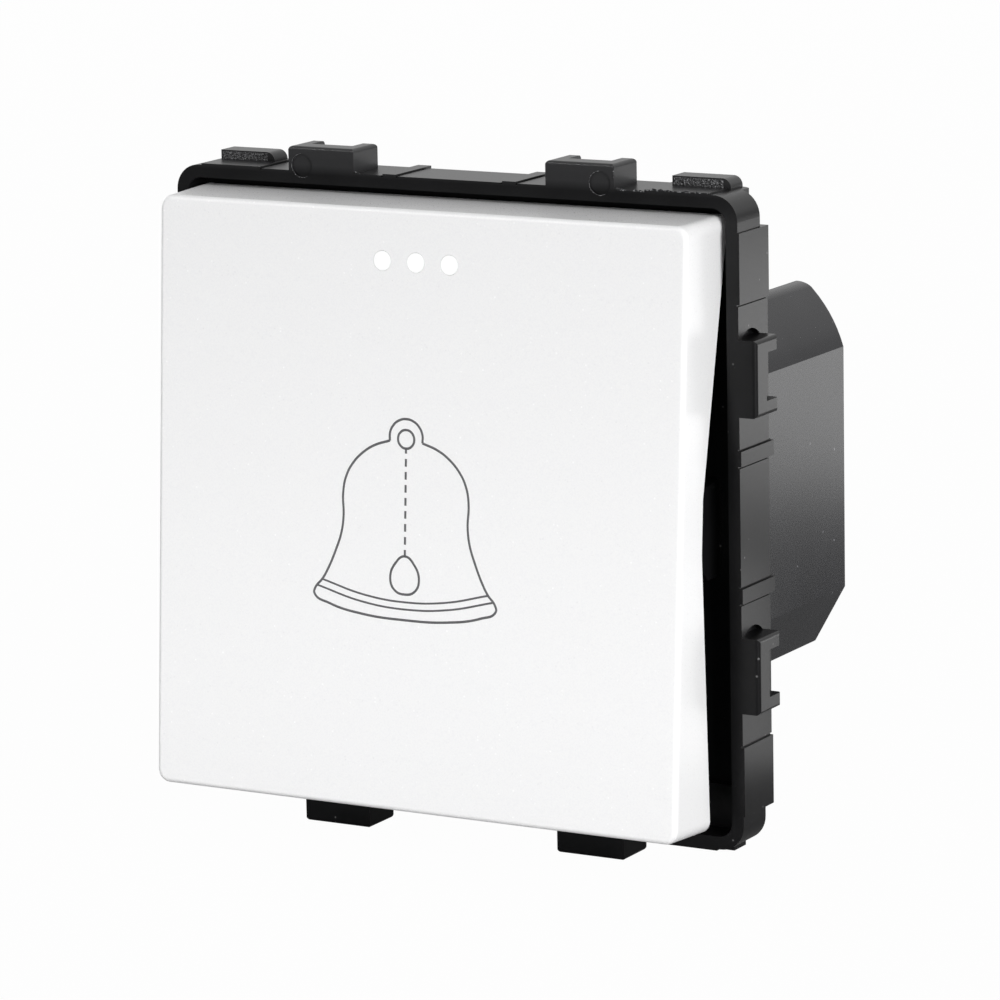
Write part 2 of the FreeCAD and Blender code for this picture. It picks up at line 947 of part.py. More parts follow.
def rear_housing():
    outer = prism_along_y(housing_outline(0), deck_back, housing_back)
    long_edges = edges_along(outer, Vector(0, 1, 0))
    crown = [e for e in long_edges if abs(e.CenterOfMass.z - housing_top) < 0.01]
    outer = outer.makeFillet(housing_top_radius, crown)
    back_edges = [e for e in outer.Edges if abs(e.CenterOfMass.y - housing_back) < 0.001]
    outer = outer.makeFillet(housing_edge_radius, back_edges)
    lip = prism_along_y(housing_outline(housing_lip_wall), deck_back - past, cover_back)
    chamber = prism_along_y(housing_outline(housing_wall), cover_back - past, rear_inside)
    # Towards the rear the top lies lower between two crests, and so does its inside
    dip_half = housing_half_width - top_chamfer_x - crest_width
    dip_floor = housing_top - dip_depth
    outer = outer.cut(
        block(-dip_half, dip_half, dip_start, housing_back + past, dip_floor, housing_top + past)
    )
    ceiling_half = dip_half + housing_wall
    dip_inside = dip_floor - housing_wall
    ceiling_start = dip_start - housing_wall
    chamber = chamber.cut(
        block(-ceiling_half, ceiling_half, ceiling_start, rear_inside, dip_inside, housing_top)
    )
    housing = outer.cut(lip).cut(chamber)
    details = []
    sunk = rear_inside + root
    floor = housing_bottom + housing_wall - root
    side_wall = housing_half_width - housing_wall + root
    under_busbar = busbar_top - strip_thickness
    # Thick wall at the wire holes, shelves under the busbars, pillars under the arms
    wire_block = block(
        busbar_inner - root,
        side_wall,
        wire_wall_front,
        sunk,
        under_busbar,
        release_low - release_flange - release_fit,
    )
    details += both_sides(wire_block)
    half = shelf_thickness / 2
    for x in (busbar_inner + shelf_inset, release_x, busbar_outer - shelf_inset):
        shelf = block(x - half, x + half, strip_back + root, sunk, floor, under_busbar)
        details += both_sides(shelf)
    pillar = block(
        tip_x - arm_half_width,
        busbar_inner - root,
        strip_back,
        sunk,
        floor,
        under_busbar - root,
    )
    details += both_sides(pillar)
    # Partition between the two terminals and a wall above each clamp spring
    half = partition_thickness / 2
    details.append(block(-half, half, strip_back, sunk, floor, dip_inside + root))
    anchor_low = clamp_fold_height + clamp_fold_radius + clamp_seat_gap
    anchor = block(
        clamp_inner - root,
        side_wall,
        clamp_anchor_depth,
        sunk,
        anchor_low,
        anchor_low + anchor_thickness,
    )
    details += both_sides(anchor)
    # Latch arms through the deck, with hooks on its front
    hook_front = deck_front - latch_hook_height
    hook_back = deck_front - latch_play
    for x0, x1, z0, z1 in latch_spans():
        details.append(block(x0, x1, hook_front, deck_back + latch_arm_root, z0, z1))
        inward = -1 if z0 > 0 else 1
        edge = z0 if z0 > 0 else z1
        reach = edge + inward * (latch_hook + latch_window_gap)
        nose = [
            (hook_front, edge - inward * root),
            (hook_front, edge),
            (hook_back - latch_hook_land, reach),
            (hook_back, reach),
            (hook_back, edge - inward * root),
        ]
        details.append(prism_along_x(nose, x0, x1))
    housing = joined([housing] + details)
    for x in wire_xs:
        hole = disc_along_y(
            wire_hole_radius, x, wire_height, wire_wall_front - past, housing_back + past
        )
        funnel = cone_along_y(
            wire_hole_radius,
            wire_hole_radius + 2 * wire_funnel,
            x,
            wire_height,
            housing_back - wire_funnel,
            housing_back + wire_funnel,
        )
        for shape in both_sides(hole.fuse(funnel)):
            housing = housing.cut(shape)
    slot = block(
        release_x - release_half_width - release_fit,
        release_x + release_half_width + release_fit,
        rear_inside - past,
        housing_back + past,
        release_low - release_fit,
        release_high + release_fit,
    )
    slot = slot.makeFillet(release_corner, edges_along(slot, Vector(0, 1, 0)))
    for shape in both_sides(slot):
        housing = housing.cut(shape)
    return housing


def contact_cover():
    plate = prism_along_y(
        housing_outline(housing_lip_wall + cover_fit), cover_front, cover_back
    )
    pieces = [plate]
    # Rails beside the lamp board
    rail = block(
        board_half_width + rail_gap,
        board_half_width + rail_gap + rail_thickness,
        cover_front - board_thickness - rail_rise,
        cover_front + root,
        board_low,
        board_high,
    )
    pieces += both_sides(rail)
    # Ribs that hold the busbars down
    middle = busbar_top - strip_thickness / 2
    rib = block(
        release_x - hold_down_width / 2,
        release_x + hold_down_width / 2,
        cover_back - root,
        strip_front,
        middle - hold_down_thickness / 2,
        middle + hold_down_thickness / 2,
    )
    pieces += both_sides(rib)
    cover = joined(pieces)
    # Holes for the plunger's tail and the lamp's two leads
    front = cover_front - past
    rear = cover_back + past
    holes = [disc_along_y(plunger_tail_radius + plunger_play, 0, -finger_drop, front, rear)]
    for x in (-lead_x, lead_x):
        holes.append(disc_along_y(lead_radius + lead_fit, x, lead_z, front, rear))
    for hole in holes:
        cover = cover.cut(hole)
    return cover


def plunger():
    z = -finger_drop
    flange_front = deck_back + plunger_gap
    pieces = [
        disc_along_y(plunger_radius, 0, z, plunger_tip, flange_front + root),
        disc_along_y(
            plunger_flange_radius, 0, z, flange_front, flange_front + plunger_flange_thickness
        ),
        disc_along_y(plunger_tail_radius, 0, z, flange_front, bridge_front),
        disc_along_y(plunger_pin_radius, 0, z, bridge_front - root, bridge_back + root),
        disc_along_y(plunger_head_radius, 0, z, bridge_back, bridge_back + plunger_head_height),
    ]
    body = joined(pieces)
    tip_edge = [e for e in body.Edges if abs(e.CenterOfMass.y - plunger_tip) < 0.001]
    return body.makeFillet(plunger_tip_round, tip_edge)


def return_spring():
    # The seat on the carrier leans with the rocker, so the coil starts clear of it
    reach = return_spring_radius + return_spring_wire
    seat = at_pivot(Part.Vertex(0, carrier_back, -spring_drop + reach)).Point.y
    return coil(
        return_spring_radius,
        return_spring_wire,
        return_spring_turns,
        seat + spring_seat_gap,
        deck_front - spring_seat_gap,
        0,
        -spring_drop,
    )


def plunger_spring():
    flange_back = deck_back + plunger_gap + plunger_flange_thickness
    return coil(
        plunger_spring_radius,
        plunger_spring_wire,
        plunger_spring_turns,
        flange_back + spring_seat_gap,
        cover_front - spring_seat_gap,
        0,
        -finger_drop,
    )


def moving_contact():
    z = -finger_drop
    half = bridge_width / 2
    strip = block(
        -bridge_half_length, bridge_half_length, bridge_front, bridge_back, z - half, z + half
    )
    strip = strip.makeFillet(bridge_corner_radius, edges_along(strip, Vector(0, 1, 0)))
    holes = [(0, plunger_pin_radius), (-tip_x, tip_shank_radius), (tip_x, tip_shank_radius)]
    for x, radius in holes:
        strip = strip.cut(
            disc_along_y(radius + tip_fit, x, z, bridge_front - past, bridge_back + past)
        )
    return strip


def contact_tip(face, seat, shank_end):
    # A rivet with a bevelled head: face is the touching side, seat is on the strip
    inwards = 1 if seat > face else -1
    bevel = face + inwards * tip_bevel
    low, high = sorted((face, bevel))
    radii = sorted((tip_face_radius, tip_radius), reverse=inwards < 0)
    crown = cone_along_y(radii[0], radii[1], tip_x, -finger_drop, low, high)
    low, high = sorted((bevel, seat))
    collar = disc_along_y(tip_radius, tip_x, -finger_drop, low, high)
    low, high = sorted((seat, shank_end))
    shank = disc_along_y(tip_shank_radius, tip_x, -finger_drop, low, high)
    return joined([crown, collar, shank])


def moving_tips():
    tip = contact_tip(bridge_back + tip_height, bridge_back, bridge_front)
    return Part.makeCompound(both_sides(tip))


def fixed_tips():
    tip = contact_tip(fixed_tip_face, strip_front, strip_back)
    return Part.makeCompound(both_sides(tip))


def terminal():
    # A bent brass strip: the busbar under the wires and the arm with the fixed contact
    busbar = block(
        busbar_inner,
        busbar_outer,
        strip_front,
        busbar_back,
        busbar_top - strip_thickness,
        busbar_top,
    )
    arm = block(
        tip_x - arm_half_width,
        tip_x + arm_half_width,
        strip_front,
        strip_back,
        -finger_drop - arm_below,
        busbar_top,
    )
    strip = joined([busbar, arm])
    bend = [
        e
        for e in edges_along(strip, Vector(1, 0, 0))
        if abs(e.CenterOfMass.y - strip_front) < 0.001 and e.CenterOfMass.z > busbar_top - 0.01
    ]
    strip = strip.makeFillet(strip_bend_radius, bend)
    return strip.cut(
        disc_along_y(
            tip_shank_radius + tip_fit, tip_x, -finger_drop, strip_front - past, strip_back + past
        )
    )


def bell_terminal():
    return terminal()


def common_terminal():
    return mirrored_x(terminal())


def leaf_line():
    # The lower leg's outer line: it leaves the fold at a tangent and ends on the busbar
    r = clamp_fold_radius
    dy = clamp_tip_depth - clamp_fold_depth
    dz = busbar_top + clamp_seat_gap - clamp_fold_height
    length = math.sqrt(dy * dy + dz * dz - r * r)
    turn = math.atan2(-dz, dy) + math.atan2(r, length)
    return turn, length


def leaf_depth(z):
    turn, length = leaf_line()
    start = clamp_fold_depth + clamp_fold_radius * math.sin(turn)
    drop = clamp_fold_height + clamp_fold_radius * math.cos(turn) - z
    return start + drop / math.tan(turn)


def clamp_spring():
    # A folded leaf: the upper leg is anchored, the lower leg leans on the busbar
    turn, length = leaf_line()

    def at(radius, angle, along=0.0):
        y = clamp_fold_depth + radius * math.sin(angle) + along * math.cos(angle)
        z = clamp_fold_height + radius * math.cos(angle) - along * math.sin(angle)
        return Vector(clamp_inner, y, z)

    outer = clamp_fold_radius
    inner = outer - clamp_thickness
    back = clamp_anchor_depth - clamp_fold_depth
    edges = [
        Part.LineSegment(at(outer, 0, back), at(outer, 0)),
        Part.Arc(at(outer, 0), at(outer, turn / 2), at(outer, turn)),
        Part.LineSegment(at(outer, turn), at(outer, turn, length)),
        Part.LineSegment(at(outer, turn, length), at(inner, turn, length)),
        Part.LineSegment(at(inner, turn, length), at(inner, turn)),
        Part.Arc(at(inner, turn), at(inner, turn / 2), at(inner, 0)),
        Part.LineSegment(at(inner, 0), at(inner, 0, back)),
        Part.LineSegment(at(inner, 0, back), at(outer, 0, back)),
    ]
    section = Part.Face(Part.Wire([edge.toShape() for edge in edges]))
    return section.extrude(Vector(clamp_outer - clamp_inner, 0, 0))


def clamp_spring_right():
    return clamp_spring()


def clamp_spring_left():
    return mirrored_x(clamp_spring())


def release_button():
    # The nose follows the slope of the leaf that it pushes
    back = housing_back + release_proud
    profile = [
        (leaf_depth(release_low) + release_gap, release_low),
        (leaf_depth(release_high) + release_gap, release_high),
        (back, release_high),
        (back, release_low),
    ]
    body = prism_along_x(
        profile, release_x - release_half_width, release_x + release_half_width
    )
    body = body.makeFillet(release_corner, edges_along(body, Vector(0, 1, 0)))
    flange_back = rear_inside - release_seat_gap
    flange = block(
        release_x - release_half_width - release_flange,
        release_x + release_half_width + release_flange,
        flange_back - release_flange_thickness,
        flange_back,
        release_low - release_flange,
        release_high + release_flange,
    )
    slot = block(
        release_x - release_half_width + release_slot_margin,
        release_x + release_half_width - release_slot_margin,
        back - release_slot_depth,
        back + past,
        (release_low + release_high - release_slot_width) / 2,
        (release_low + release_high + release_slot_width) / 2,
    )
    return joined([body, flange]).cut(slot)


def release_button_right():
    return release_button()


def release_button_left():
    return mirrored_x(release_button())


def indicator_board():
    front = cover_front - board_thickness
    board = block(-board_half_width, board_half_width, front, cover_front, board_low, board_high)
    for x in (-lead_x, lead_x):
        board = board.cut(
            disc_along_y(lead_radius + lead_fit, x, lead_z, front - past, cover_front + past)
        )
    return board


def indicator_led():
    back = cover_front - board_thickness
    front = back - led_thickness
    body = block(
        -led_half_width,
        led_half_width,
        front,
        back,
        guide_entry_height - led_half_height,
        guide_entry_height + led_half_height,
    )
    lens = cone_along_y(
        led_lens_front_radius,
        led_lens_radius,
        0,
        guide_entry_height,
        front - led_lens_height,
        front,
    )
    return joined([body, lens])


def series_resistor():
    back = cover_front - board_thickness
    half_l = resistor_length / 2
    half_w = resistor_width / 2
    return block(
        resistor_x - half_l,
        resistor_x + half_l,
        back - resistor_thickness,
        back,
        resistor_z - half_w,
        resistor_z + half_w,
    )


def lamp_lead():
    # A stiff wire from the board, through the cover and down to the terminal's arm
    start = cover_front - board_thickness - lead_proud
    return tube_through(
        [
            Vector(lead_x, start, lead_z),
            Vector(lead_x, lead_depth, lead_z),
            Vector(tip_x, lead_depth, lead_z - abs(tip_x - lead_x)),
            Vector(tip_x, lead_depth, busbar_top),
        ],
        lead_radius,
    )


def lamp_lead_right():
    return lamp_lead()


def lamp_lead_left():
    return mirrored_x(lamp_lead())


pieces = [
    rocker_cap,
    light_guide,
    rocker_carrier,
    mounting_frame,
    rear_housing,
    contact_cover,
    plunger,
    return_spring,
    plunger_spring,
    moving_contact,
    moving_tips,
    fixed_tips,
    bell_terminal,
    common_terminal,
    clamp_spring_right,
    clamp_spring_left,
    release_button_right,
    release_button_left,
    indicator_board,
    indicator_led,
    series_resistor,
    lamp_lead_right,
    lamp_lead_left,
]

os.makedirs("parts", exist_ok=True)
for make in pieces:
    shape = make()
    if not shape.isValid():
        print("not valid:", make.__name__)
    shape.exportStep("parts/" + make.__name__ + ".step")
    print(make.__name__, len(shape.Solids), round(shape.Volume, 2))
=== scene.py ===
import bpy
import bmesh
import math
from mathutils import Matrix, Vector, noise


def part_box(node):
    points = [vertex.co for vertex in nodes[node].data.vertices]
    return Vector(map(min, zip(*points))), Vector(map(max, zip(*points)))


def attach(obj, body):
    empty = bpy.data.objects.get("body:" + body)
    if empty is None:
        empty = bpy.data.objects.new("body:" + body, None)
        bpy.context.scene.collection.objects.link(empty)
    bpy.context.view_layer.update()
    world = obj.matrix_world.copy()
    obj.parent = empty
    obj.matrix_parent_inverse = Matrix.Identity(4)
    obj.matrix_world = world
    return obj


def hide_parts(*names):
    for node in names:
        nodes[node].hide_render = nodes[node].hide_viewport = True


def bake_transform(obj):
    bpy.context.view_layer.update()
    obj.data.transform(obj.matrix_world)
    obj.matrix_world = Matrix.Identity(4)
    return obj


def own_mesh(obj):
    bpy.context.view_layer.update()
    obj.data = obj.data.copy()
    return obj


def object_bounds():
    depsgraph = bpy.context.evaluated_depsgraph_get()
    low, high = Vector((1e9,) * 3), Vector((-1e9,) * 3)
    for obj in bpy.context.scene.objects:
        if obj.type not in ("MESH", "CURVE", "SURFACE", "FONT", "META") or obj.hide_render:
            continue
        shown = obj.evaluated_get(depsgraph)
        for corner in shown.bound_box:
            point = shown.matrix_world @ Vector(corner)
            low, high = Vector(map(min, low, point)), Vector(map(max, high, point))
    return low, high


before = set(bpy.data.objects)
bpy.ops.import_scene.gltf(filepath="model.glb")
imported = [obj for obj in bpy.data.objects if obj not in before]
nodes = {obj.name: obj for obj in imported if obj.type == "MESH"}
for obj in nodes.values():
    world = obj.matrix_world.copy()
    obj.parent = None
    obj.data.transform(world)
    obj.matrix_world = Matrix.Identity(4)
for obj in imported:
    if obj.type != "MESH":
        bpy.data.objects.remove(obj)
cadBox = [list(corner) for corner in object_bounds()]
mm = 0.001
print("frame loaded:", len(nodes), "nodes")

# camera, as fitted to the edges of the button and its frame
cameraView = {
    "place": (191.707, -330.443, 77.457),
    "azimuth": 29.629,
    "elevation": 11.449,
    "roll": -1.141,
    "lens": 190.57,
    "sensor": 36.0,
}


def makeCamera(view):
    a = math.radians(view["azimuth"])
    e = math.radians(view["elevation"])
    r = math.radians(view["roll"])
    back = Vector((math.sin(a) * math.cos(e), -math.cos(a) * math.cos(e), math.sin(e)))
    side = Vector((math.cos(a), math.sin(a), 0))
    up = back.cross(side)
    localX = side * math.cos(r) + up * math.sin(r)
    localY = up * math.cos(r) - side * math.sin(r)
    data = bpy.data.cameras.new("photoCamera")
    data.lens = view["lens"]
    data.sensor_width = view["sensor"]
    data.clip_start = 0.01
    data.clip_end = 20
    camera = bpy.data.objects.new("photoCamera", data)
    turn = Matrix((localX, localY, back)).transposed().to_4x4()
    camera.matrix_world = Matrix.Translation(Vector(view["place"]) * mm) @ turn
    bpy.context.scene.collection.objects.link(camera)
    bpy.context.scene.camera = camera


makeCamera(cameraView)
print("camera placed")


# helpers for materials

def linearColour(hexCode):
    parts = [int(hexCode[i:i + 2], 16) / 255 for i in (1, 3, 5)]
    linear = [p / 12.92 if p <= 0.04045 else ((p + 0.055) / 1.055) ** 2.4 for p in parts]
    return (*linear, 1.0)


def addNode(tree, kind, settings=None, links=None):
    # settings: attributes by name and sockets by name or number; links: socket -> output
    node = tree.nodes.new(kind)
    for key, value in (settings or {}).items():
        if isinstance(key, str) and hasattr(node, key):
            setattr(node, key, value)
        else:
            node.inputs[key].default_value = value
    for key, output in (links or {}).items():
        tree.links.new(output, node.inputs[key])
    return node


def startMaterial(name):
    material = bpy.data.materials.new(name)
    material.use_nodes = True
    tree = material.node_tree
    tree.nodes.clear()
    place = addNode(tree, "ShaderNodeTexCoord").outputs["Object"]
    return material, tree, place


def finishMaterial(tree, shader):
    addNode(tree, "ShaderNodeOutputMaterial", None, {"Surface": shader.outputs[0]})


def noiseAt(tree, place, size, detail, roughness=0.5):
    # size is the width of one blotch in millimetres
    return addNode(
        tree,
        "ShaderNodeTexNoise",
        {"Scale": 1 / (size * mm), "Detail": detail, "Roughness": roughness},
        {"Vector": place},
    ).outputs["Fac"]


def spreadOf(tree, value, low, high, toLow, toHigh):
    return addNode(
        tree,
        "ShaderNodeMapRange",
        {"From Min": low, "From Max": high, "To Min": toLow, "To Max": toHigh},
        {"Value": value},
    ).outputs["Result"]


def colourBetween(tree, factor, first, second):
    return addNode(
        tree,
        "ShaderNodeMix",
        {"data_type": "RGBA", 6: linearColour(first), 7: linearColour(second)},
        {0: factor},
    ).outputs[2]


def bumpFrom(tree, height, depth, strength=1.0):
    # depth is the full height of the texture in millimetres
    return addNode(
        tree,
        "ShaderNodeBump",
        {"Distance": depth * mm, "Strength": strength},
        {"Height": height},
    ).outputs["Normal"]


def dress(name, material):
    node = nodes[name]
    node.data.materials.clear()
    node.data.materials.append(material)


# pearl-white painted polycarbonate: a satin skin with fine flakes, a few of which carry a painted
# glint in pure white
capPaint = {
    "low": "#EFEFF0",
    "high": "#F4F4F4",
    "paintedGlint": "#FFFFFF",
    "dull": "#EAEAEB",
    "grain": 0.14,
    "flake": 0.3,
    "flakeEdge": (0.12, 0.3),
    "paintedGlintFrom": 0.9,
    "dullFrom": 0.88,
    "roughness": (0.37, 0.27),
}


def makeCapPaint(size):
    material, tree, place = startMaterial("pearlWhitePolycarbonate")
    grain = noiseAt(tree, place, size["grain"], 1.0)
    shade = spreadOf(tree, grain, 0.3, 0.7, 0.0, 1.0)
    colour = colourBetween(tree, shade, size["low"], size["high"])
    flakes = addNode(
        tree, "ShaderNodeTexVoronoi", {"Scale": 1 / (size["flake"] * mm)}, {"Vector": place}
    )
    near = spreadOf(tree, flakes.outputs["Distance"], *size["flakeEdge"], 1.0, 0.0)
    chance = addNode(tree, "ShaderNodeSeparateColor", None, {0: flakes.outputs["Color"]})
    # painted glints: the rarest flakes are coloured pure white; the dull ones are a random darker
    # tone
    for channel, rare, tint in (
        ("Red", size["paintedGlintFrom"], size["paintedGlint"]),
        ("Green", size["dullFrom"], size["dull"]),
    ):
        mask = spreadOf(tree, chance.outputs[channel], rare, 1.0, 0.0, 1.0)
        mask = addNode(
            tree, "ShaderNodeMath", {"operation": "MULTIPLY"}, {0: near, 1: mask}
        ).outputs[0]
        colour = addNode(
            tree,
            "ShaderNodeMix",
            {"data_type": "RGBA", 7: linearColour(tint)},
            {0: mask, 6: colour},
        ).outputs[2]
    gloss = spreadOf(tree, grain, 0.3, 0.7, *size["roughness"])
    shader = addNode(
        tree,
        "ShaderNodeBsdfPrincipled",
        {"IOR": 1.58, "Specular IOR Level": 0.4},
        {
            "Base Color": colour,
            "Roughness": gloss,
            "Normal": bumpFrom(tree, grain, 0.003, 0.4),
        },
    )
    finishMaterial(tree, shader)
    return material


# opal polycarbonate of the three lenses: smooth, whiter than the painted cap, faintly lit
lensOpal = {
    "colour": "#FEFEFE",
    "cloudy": "#FAFBFB",
    "cloud": 0.6,
    "roughness": 0.16,
    "glow": 0.08,
}


def makeLensOpal(size):
    material, tree, place = startMaterial("opalPolycarbonate")
    cloud = noiseAt(tree, place, size["cloud"], 1.0)
    colour = colourBetween(tree, cloud, size["colour"], size["cloudy"])
    shader = addNode(
        tree,
        "ShaderNodeBsdfPrincipled",
        {
            "IOR": 1.58,
            "Roughness": size["roughness"],
            "Emission Color": (1, 1, 1, 1),
            "Emission Strength": size["glow"],
        },
        {"Base Color": colour},
    )
    finishMaterial(tree, shader)
    return material


def colourAbove(tree, place, colour, size):
    # mixes in the paler colour above a height
    height = addNode(tree, "ShaderNodeSeparateXYZ", None, {0: place}).outputs["Z"]
    low, high = size["height"] * mm, (size["height"] + size["fade"]) * mm
    mask = spreadOf(tree, height, low, high, 0.0, 1.0)
    return addNode(
        tree,
        "ShaderNodeMix",
        {"data_type": "RGBA", 7: linearColour(size["colour"])},
        {0: mask, 6: colour},
    ).outputs[2]


# injection-moulded plastics: faint grain, and on some of them dust specks that catch the light; the
# last argument gives the height above which the piece is painted paler, as a painted reflection
def makeMouldedPlastic(
    name, base, lighter, roughness, grain, speck, speckColour, shine=0.5, paintedReflection=None
):
    material, tree, place = startMaterial(name)
    fine = noiseAt(tree, place, grain, 2.0)
    wide = noiseAt(tree, place, 4.0, 3.0)
    colour = colourBetween(tree, spreadOf(tree, wide, 0.35, 0.65, 0.0, 1.0), base, lighter)
    if speck:
        cells = addNode(
            tree, "ShaderNodeTexVoronoi", {"Scale": 1 / (speck * mm)}, {"Vector": place}
        )
        dot = spreadOf(tree, cells.outputs["Distance"], 0.04, 0.08, 1.0, 0.0)
        rare = spreadOf(tree, wide, 0.48, 0.56, 0.0, 1.0)
        mask = addNode(
            tree, "ShaderNodeMath", {"operation": "MULTIPLY"}, {0: dot, 1: rare}
        ).outputs[0]
        colour = addNode(
            tree,
            "ShaderNodeMix",
            {"data_type": "RGBA", 7: linearColour(speckColour)},
            {0: mask, 6: colour},
        ).outputs[2]
    # painted reflection: paler colour above the given height
    if paintedReflection:
        colour = colourAbove(tree, place, colour, paintedReflection)
    gloss = spreadOf(tree, fine, 0.25, 0.75, roughness + 0.02, roughness - 0.02)
    shader = addNode(
        tree,
        "ShaderNodeBsdfPrincipled",
        {"IOR": 1.53, "Specular IOR Level": shine},
        {"Base Color": colour, "Roughness": gloss, "Normal": bumpFrom(tree, fine, 0.012, 0.05)},
    )
    finishMaterial(tree, shader)
    return material


# rolled and stamped metals: bright, with a fine drawn grain
def makeMetal(name, base, lighter, roughness, grain):
    material, tree, place = startMaterial(name)
    fine = noiseAt(tree, place, grain, 2.0)
    colour = colourBetween(tree, fine, base, lighter)
    gloss = spreadOf(tree, fine, 0.3, 0.7, roughness - 0.06, roughness + 0.08)
    shader = addNode(
        tree,
        "ShaderNodeBsdfPrincipled",
        {"Metallic": 1.0},
        {"Base Color": colour, "Roughness": gloss, "Normal": bumpFrom(tree, fine, 0.003, 0.4)},
    )
    finishMaterial(tree, shader)
    return material


# painted reflection: the frame is painted paler above the feet of its top hooks and ears, for the
# lighter reflections on their faces
topHookPaintedReflection = {"height": 23.7, "fade": 0.7, "colour": "#2E2E2F"}
finishes = {
    "cap": makeCapPaint(capPaint),
    "lens": makeLensOpal(lensOpal),
    "frame": makeMouldedPlastic(
        "blackPolyamide", "#101011", "#151516", 0.3, 0.18, 1.3, "#6E6E6E", 0.2, topHookPaintedReflection
    ),
    "carrier": makeMouldedPlastic("blackAcetal", "#141415", "#1A1A1B", 0.42, 0.2, 0, ""),
    "housing": makeMouldedPlastic(
        "greyPolyamide", "#17171A", "#1C1C1F", 0.27, 0.2, 1.4, "#7C7C80", 0.26
    ),
    "cover": makeMouldedPlastic("lightGreyPolyamide", "#9A9A97", "#A6A6A3", 0.45, 0.2, 0, ""),
    "button": makeMouldedPlastic("paleGreyPolyamide", "#BDBDBB", "#C8C8C6", 0.42, 0.2, 0, ""),
    "acetal": makeMouldedPlastic("naturalAcetal", "#E2E0D6", "#EBE9E0", 0.35, 0.2, 0, ""),
    "board": makeMouldedPlastic("glassFibreLaminate", "#1E5A34", "#27693E", 0.35, 0.3, 0, ""),
    "lamp": makeMouldedPlastic("yellowPhosphorLamp", "#EBDD8A", "#F2E8A8", 0.2, 0.2, 0, ""),
    "ceramic": makeMouldedPlastic("glazedCeramic", "#17171A", "#1F1F23", 0.22, 0.1, 0, ""),
    "spring": makeMetal("drawnSpringSteel", "#9B9B9E", "#B4B4B7", 0.3, 0.08),
    "brass": makeMetal("rolledBrass", "#C9A24F", "#D8B465", 0.28, 0.1),
    "silver": makeMetal("contactSilver", "#D6D4CE", "#E4E2DC", 0.25, 0.08),
    "wire": makeMetal("tinnedCopper", "#B7B7B5", "#C8C8C6", 0.3, 0.08),
}
finishOfNode = {
    "rocker_cap": "cap",
    "light_guide": "lens",
    "rocker_carrier": "carrier",
    "mounting_frame": "frame",
    "rear_housing": "housing",
    "contact_cover": "cover",
    "plunger": "acetal",
    "return_spring": "spring",
    "plunger_spring": "spring",
    "moving_contact": "brass",
    "moving_tips": "silver",
    "fixed_tips": "silver",
    "bell_terminal": "brass",
    "common_terminal": "brass",
    "clamp_spring_right": "spring",
    "clamp_spring_left": "spring",
    "release_button_right": "button",
    "release_button_left": "button",
    "indicator_board": "board",
    "indicator_led": "lamp",
    "series_resistor": "ceramic",
    "lamp_lead_right": "wire",
    "lamp_lead_left": "wire",
}
for nodeName, finish in finishOfNode.items():
    dress(nodeName, finishes[finish])
print("materials made:", len(finishes))


# helpers for pieces

def makePiece(name, mesh, material, body=None):
    mesh.materials.clear()
    mesh.materials.append(material)
    piece = bpy.data.objects.new(name, mesh)
    bpy.context.scene.collection.objects.link(piece)
    if body:
        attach(piece, body)
    return piece


# the button at rest leans about its pivot; its face is a plane of that tilted frame
button = {"pivot": -2.15, "tilt": -3.9, "face": -4.1}


def ontoButton(size):
    turn = Matrix.Rotation(math.radians(size["tilt"]), 4, "X")
    return Matrix.Translation((0, size["pivot"] * mm, 0)) @ turn


def placeReshaped(name, bm, node, material, body, sharp):
    # a reshaped copy of a CAD piece takes its place, with sharp edges from this angle on
    for face in bm.faces:
        face.smooth = True
    for edge in bm.edges:
        edge.smooth = edge.calc_face_angle(math.pi) < math.radians(sharp)
    mesh = bpy.data.meshes.new(name)
    bm.to_mesh(mesh)
    bm.free()
    piece = makePiece(name, mesh, material, body)
    # keeps the flat faces flat beside their rounded edges
    flat = piece.modifiers.new("flatFaces", "WEIGHTED_NORMAL")
    flat.keep_sharp = True
    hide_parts(node)


# the cap's top flares towards the rear, so that more of it shows above the face;
# the sizes are millimetres in the button's own tilted frame
capFlare = {
    "rise": 0.45,
    "squareX": 0.5,
    "squareZ": 0.25,
    "behind": 1.5,
    "cornerX": 21.0,
    "cornerZ": 21.12,
    "arcX": 1,
    "arcZ": 0.9,
}


def makeFlaredCap(size):
    bm = bmesh.new()
    bm.from_mesh(nodes["rocker_cap"].data)
    bmesh.ops.remove_doubles(bm, verts=bm.verts, dist=0.001 * mm)
    tilted = ontoButton(button)
    upright = tilted.inverted()
    for vert in bm.verts:
        spot = (upright @ vert.co) / mm
        if spot.y > size["behind"] and spot.z > size["cornerZ"] - 0.01:
            # both run from 0 to 1 round the corner, and their product squares it
            up = min(1, max(0, spot.z - size["cornerZ"]) / size["arcZ"])
            out = min(1, max(0, abs(spot.x) - size["cornerX"]) / size["arcX"])
            spot.z += size["rise"] * up + size["squareZ"] * up * out
            spot.x += math.copysign(size["squareX"] * up * out, spot.x)
            vert.co = tilted @ (spot * mm)
    placeReshaped("flaredCap", bm, "rocker_cap", finishes["cap"], "rocker", 32)


makeFlaredCap(capFlare)
print("cap flared")

# the housing's crests end in a narrow ridge, and its slanting upper corners bulge a little:
# inner and ridge are the crest's inner edge before and after, high and low the slant's ends
crestShape = {
    "inner": 16.9,
    "ridge": 18.15,
    "start": 10.9,
    "foot": 13.2,
    "lower": 0.17,
    "high": (19.51, 14.11),
    "low": (22.0, 9.9),
    "front": 4.05,
    "bulge": 0.3,
    "near": 0.6,
    "cuts": 7,
}


